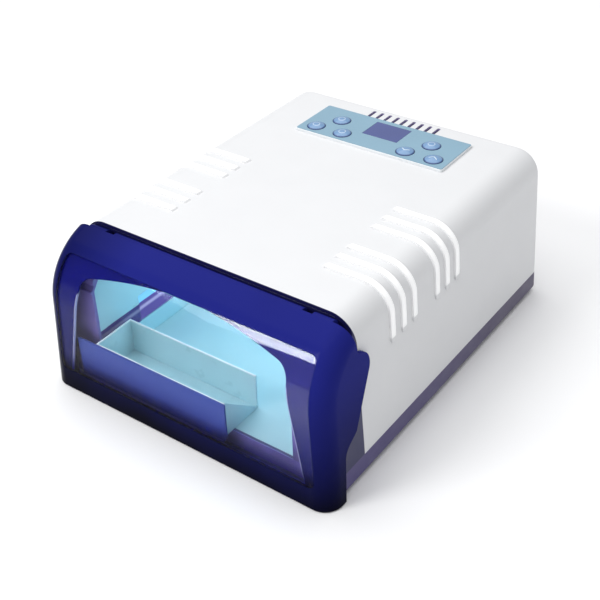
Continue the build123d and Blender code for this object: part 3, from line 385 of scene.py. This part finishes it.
def rib_highlight_mask(tree, place):
    """One on the ribs that wrap over the long edges, and nothing beside them: where the ribs get their
    painted highlight.
    """
    bands = 0.0
    for group in range(rib_groups):
        for i in range(rib_count):
            rib_y = rib_first_y + group * rib_group_pitch + i * rib_pitch
            bands = calc(tree, "ADD", within(tree, place["Y"], rib_y, rib_width / 2), bands)
    outward = above(tree, magnitude(tree, place["X"]), rib_inner_x, rib_inner_x + rib_fade)
    upward = above(tree, place["Z"], rib_low_z - soft_edge, rib_low_z + soft_edge)
    return product(tree, bands, outward, upward)


def vent_shade_mask(tree, place):
    """One on the walls of the vent slots, below the cover's top, where violet is painted shade."""
    return product(tree, below(tree, place["Z"], vent_high_z - band_edge, vent_high_z),
                   above(tree, place["Z"], vent_low_z - hair_edge, vent_low_z),
                   within(tree, place["Y"], vent_middle_y, vent_half_length, crisp_edge),
                   below(tree, magnitude(tree, place["X"]), vent_half_row, vent_half_row + crisp_edge))


def paint_cover(tree, place, tint):
    """Painted light and shade: whiter ribs as a painted highlight, violet vent walls as painted shade,
    and a dark front edge behind the door's hinge as painted shade.
    """
    tint = mix_colors(tree, rib_highlight_mask(tree, place), tint, white)
    # A dark front edge behind the hinge, as painted shade
    edge = below(tree, place["Y"], trough_y - hair_edge, trough_y + hair_edge)
    tint = mix_colors(tree, edge, tint, trough_shade_color)
    return mix_colors(tree, vent_shade_mask(tree, place), tint, vent_shade_violet)


def paint_pan(tree, place, tint):
    """A base that is more violet towards the front, most on its front face."""
    tint = mix_colors(tree, above(tree, place["Y"], *pan_turn_y), pan_front_color, tint)
    front = below(tree, place["Y"], pan_front_y - crisp_edge, pan_front_y)
    return mix_colors(tree, front, tint, front_violet)


def paint_shield_highlight(tree, place, tint):
    """A painted highlight line along the shield's lower edge."""
    foot = below(tree, place["Z"], shield_foot_z, shield_foot_z + 2 * crisp_edge)
    return mix_colors(tree, foot, tint, highlight_line_color)


def coat_and_painted_reflection_mask(tree, place):
    """One on the upper right of the arched frame, where it mirrors the light most: it sets the coat
    there, and the painted reflection colour.
    """
    return product(tree, above(tree, place["X"], *reflection_zone_x), above(tree, place["Z"], *reflection_zone_z))


def paint_arch(tree, place, tint):
    """An arched frame with a painted reflection, violet to the upper right, and a painted highlight
    line along its opening.
    """
    tint = mix_colors(tree, coat_and_painted_reflection_mask(tree, place), tint, painted_reflection_violet)
    flank = product(tree, calc(tree, "SUBTRACT", arch_corner_z, place["Z"]), arch_flare)
    edge_x = calc(tree, "ADD", flank, arch_half_x)
    outside = calc(tree, "SUBTRACT", magnitude(tree, place["X"]), edge_x)
    line = product(tree, below(tree, outside, *arch_line),
                   below(tree, place["Z"], arch_corner_z - arch_line_fade, arch_corner_z))
    return mix_colors(tree, line, tint, highlight_line_color)


def paint_button(centre, turn):
    """A painter of a darker rim, which is painted shade, and a mark: a chevron that points up or down,
    or a ring.
    """
    def paint(tree, place, tint):
        across = calc(tree, "SUBTRACT", place["X"], centre.x)
        along = calc(tree, "SUBTRACT", place["Y"], centre.y)
        rim = above(tree, distance(tree, across, along), *button_shade_radii)
        tint = mix_colors(tree, rim, tint, button_rim_shade)
        if turn:
            lean = product(tree, magnitude(tree, across), chevron_slope * turn)
            arm = within(tree, calc(tree, "ADD", along, lean), chevron_tip * turn,
                         chevron_half_line, hair_edge)
            mark = product(tree, arm, within(tree, across, 0.0, chevron_reach, crisp_edge))
        else:
            mark = product(tree, ring(tree, across, along, button_ring_radius, button_ring_half),
                           button_ring_strength)
        return mix_colors(tree, mark, tint, mark_white)
    return paint


def paint_rocker(centre):
    """A painter of a bar on the switch's upper half and a ring on its lower half."""
    def paint(tree, place, tint):
        across = calc(tree, "SUBTRACT", place["X"], centre.x)
        upper = calc(tree, "SUBTRACT", place["Z"], centre.z + rocker_mark_z)
        lower = calc(tree, "SUBTRACT", place["Z"], centre.z - rocker_mark_z)
        marks = calc(tree, "ADD", bar(tree, across, upper, rocker_bar_half, rocker_half_line),
                     ring(tree, across, lower, rocker_ring_radius, rocker_half_line))
        return mix_colors(tree, marks, tint, mark_white)
    return paint


# Cabinet, panel and supply
cover_white = surface("cover_white", (0.735, 0.74, 0.75), rough=0.38, grain=1500.0,
                      grain_depth=10 * micron, mottle=0.01, coat=0.1, coat_rough=0.25,
                      paint=paint_cover)
# The ribs glow a little: a painted highlight, not a lamp
feed(cover_white, "Emission Color", rib_highlight_mask).inputs["Emission Strength"].default_value = rib_painted_glow
dress(cover_white, "upper_cover")
dress(surface("plate_white", (0.82, 0.85, 0.87), rough=0.3, grain=1500.0,
              grain_depth=10 * micron, mottle=0.01), "panel_plate")
# The bezel's violet is painted shade, tinted by the blue light that comes through the door
dress(surface("bezel_shade_violet", (0.23, 0.18, 0.52), rough=0.3, grain=1500.0,
              grain_depth=10 * micron, coat=0.2, coat_rough=0.2, paint=paint_trough_shade),
      "front_bezel")
dress(surface("pan_violet", (0.10, 0.085, 0.15), rough=0.42, grain=1300.0, mottle=0.05,
              paint=paint_pan), "base_pan")
dress(surface("rubber", (0.02, 0.02, 0.022), rough=0.75, grain=700.0,
              grain_depth=40 * micron, mottle=0.15), "rubber_feet", "door_bumpers")
dress(surface("overlay_blue", (0.23, 0.38, 0.485), rough=0.38, grain=2600.0,
              grain_depth=10 * micron), "panel_overlay")
dress(surface("display_glass", (0.06, 0.085, 0.27), rough=0.18, grain=300.0,
              grain_depth=3 * micron, mottle=0.06, coat=0.6, coat_rough=0.05), "display_window")
dress(surface("black_plastic", (0.016, 0.016, 0.018), rough=0.45, grain=1100.0, mottle=0.1),
      "fan_frame", "fan_rotor", "power_inlet", "rocker_housing", "display_module", "key_switches")
dress(surface("panel_grey", (0.48, 0.48, 0.50), rough=0.45, grain=2200.0,
              grain_depth=30 * micron, mottle=0.04), "rear_panel")
dress(surface("steel", (0.55, 0.55, 0.57), rough=0.3, grain_depth=10 * micron, mottle=0.06,
              metallic=1.0),
      "base_screws", "fan_screws", "rear_panel_screws", "hinge_pins", "interlock_magnet")
dress(surface("nickel", (0.66, 0.62, 0.55), rough=0.22, grain=600.0, grain_depth=5 * micron,
              mottle=0.04, metallic=1.0), "inlet_prongs")
# The chamber's surfaces are tinted cyan: painted lamp light, added to the light of the real lamps
dress(surface("reflector", (0.54, 0.82, 0.88), rough=0.32, grain=260.0,
              grain_depth=10 * micron, mottle=0.02, metallic=0.1, paint=paint_wall_shade),
      "chamber_liner", "chamber_back")
dress(surface("floor_lamp_tint", (0.50, 0.68, 0.70), rough=0.36, grain=1800.0,
              grain_depth=10 * micron, mottle=0.02), "chamber_floor")
dress(surface("tray_metal", (0.60, 0.83, 0.87), rough=0.3, grain=1200.0,
              grain_depth=4 * micron, mottle=0.02, paint=paint_rim_highlight), "work_tray")
dress(surface("sink_metal", (0.66, 0.67, 0.69), rough=0.4, grain=400.0,
              grain_depth=30 * micron, mottle=0.05, metallic=1.0, stretch=(1, 12, 1)),
      *[name for name in nodes if name.endswith("_heat_sink")])
dress(surface("board_green", (0.015, 0.13, 0.05), rough=0.3, grain=200.0,
              grain_depth=30 * micron, mottle=0.25, coat=0.4),
      "control_board", "supply_board", *[name for name in nodes if name.endswith("lamp_board")])
dress(surface("tape_yellow", (0.55, 0.36, 0.04), rough=0.4, grain=120.0,
              grain_depth=50 * micron, mottle=0.08), "supply_transformer")
dress(surface("sleeve_blue", (0.015, 0.025, 0.09), rough=0.28, grain=500.0, mottle=0.06,
              coat=0.4), "supply_capacitors")
dress(surface("reed_white", (0.70, 0.70, 0.67), rough=0.5, grain=1100.0),
      "interlock_switch", "supply_standoffs")

# Buttons and mains switch
buttons = sorted((f"button_{i}" for i in range(1, button_count + 1)),
                 key=lambda name: (middle(name).x, -middle(name).y))
for rank, name in enumerate(buttons):
    mark = paint_button(middle(name), chevron_turns.get(rank, 0))
    dress(surface(f"{name}_blue", (0.17, 0.31, 0.52), rough=0.25, grain=400.0,
                  grain_depth=4 * micron, coat=0.3, paint=mark), name)
dress(surface("gloss_black", (0.012, 0.012, 0.013), rough=0.2, grain=500.0,
              grain_depth=4 * micron, mottle=0.1, coat=0.5,
              paint=paint_rocker(middle("rocker_switch"))), "rocker_switch")

# Lamps: opal diffusers, and the chips behind them
dress(glowing("opal_glow", (0.22, 0.62, 0.90), strength=0.9, rough=0.5),
      "roof_left_diffuser", "roof_right_diffuser")
dress(glowing("side_lens", (0.24, 0.58, 0.82), strength=0.5, rough=0.25, paint=paint_wall_shade),
      "side_left_diffuser", "side_right_diffuser")
dress(glowing("chip_glow", (0.45, 0.85, 1.0), strength=3.0, rough=0.3), "lamp_leds")

# Door and shield: deep-blue polished plastic, and an arched frame behind a clear pane
# Door and arched frame are darker towards their foot and left side: painted shade
dress(polished("door_blue", (0.0015, 0.0015, 0.008), (0.014, 0.018, 0.185), specular=0.02,
               top_z=0.1, left_shade=0.75), "door_shell")
mask_blue = polished("mask_blue", (0.003, 0.004, 0.10), (0.008, 0.009, 0.19), specular=0.02,
                     left_shade=0.3, paint=paint_arch)
feed(mask_blue, "Coat Weight", coat_and_painted_reflection_mask)
dress(mask_blue, "window_rails")
dress(polished("shield_blue", (0.060, 0.095, 0.40), (0.058, 0.095, 0.42), specular=0.05,
               paint=paint_shield_highlight), "tray_shield")
dress(clear_plastic("window_clear", (0.93, 0.96, 1.0), (0.05, 0.05, 0.42), rough=0.03),
      "window_pane")

# Floor
floor_width = 12
floor_material, floor_shader, floor_tree = new_material("studio_floor")
floor_cloud = noise(floor_tree, add(floor_tree, "ShaderNodeTexCoord"), scale=3.0)
floor_tint = mix_colors(floor_tree, spread(floor_tree, floor_cloud.outputs["Fac"], 0.0, 1.0),
                        (0.93, 0.93, 0.935), (0.95, 0.95, 0.955))
floor_tree.links.new(floor_tint, floor_shader.inputs["Base Color"])
floor_shader.inputs["Roughness"].default_value = 0.9
bpy.ops.mesh.primitive_plane_add(size=floor_width)
floor = bpy.context.object
floor.name = "studio_floor"
floor.data.materials.append(floor_material)

# Light
world = bpy.data.worlds.new("studio_world")
scene.world = world
world.use_nodes = True
background = next(node for node in world.node_tree.nodes if node.type == "BACKGROUND")
background.inputs["Color"].default_value = (0.97, 0.98, 1.0, 1)
background.inputs["Strength"].default_value = 0.5


def softbox(name, place, target, width, height, power, color=white):
    """An area light that faces a target."""
    light = bpy.data.lights.new(name, "AREA")
    light.shape = "RECTANGLE"
    light.size = width
    light.size_y = height
    light.energy = power
    light.color = color
    lamp = bpy.data.objects.new(name, light)
    scene.collection.objects.link(lamp)
    lamp.location = place
    lamp.rotation_euler = (Vector(target) - Vector(place)).to_track_quat("-Z", "Y").to_euler()
    return lamp


softbox("top_box", place=(-0.5, 0.2, 2.2), target=(0, 0, 0), width=3.0, height=3.0, power=42)
# This one shows in the pane, along the upper right edge of the window
band_box = softbox("band_box", place=(-0.863, -1.5, 1.475), target=(0, -0.14, 0.11),
                   width=0.95, height=0.45, power=20)
band_box.rotation_euler.rotate_axis("Z", radians(46))
softbox("chamber_light", place=(0, -0.04, 0.105), target=(0, -0.04, 0), width=0.16, height=0.15,
        power=0.09, color=(0.8, 0.95, 1.0))

# Camera, fitted to the edges of the photograph
camera_place = (0.41097, -0.55769, 0.52780)
camera_turn = (54.434, 1.708, 35.628)  # in degrees, about X, Y and Z
camera_data = bpy.data.cameras.new("photo_camera")
camera_data.sensor_width = 36.0
camera_data.lens = 62.78
camera = bpy.data.objects.new("photo_camera", camera_data)
scene.collection.objects.link(camera)
camera.location = camera_place
camera.rotation_euler = Euler([radians(turn) for turn in camera_turn], "XYZ")
scene.camera = camera
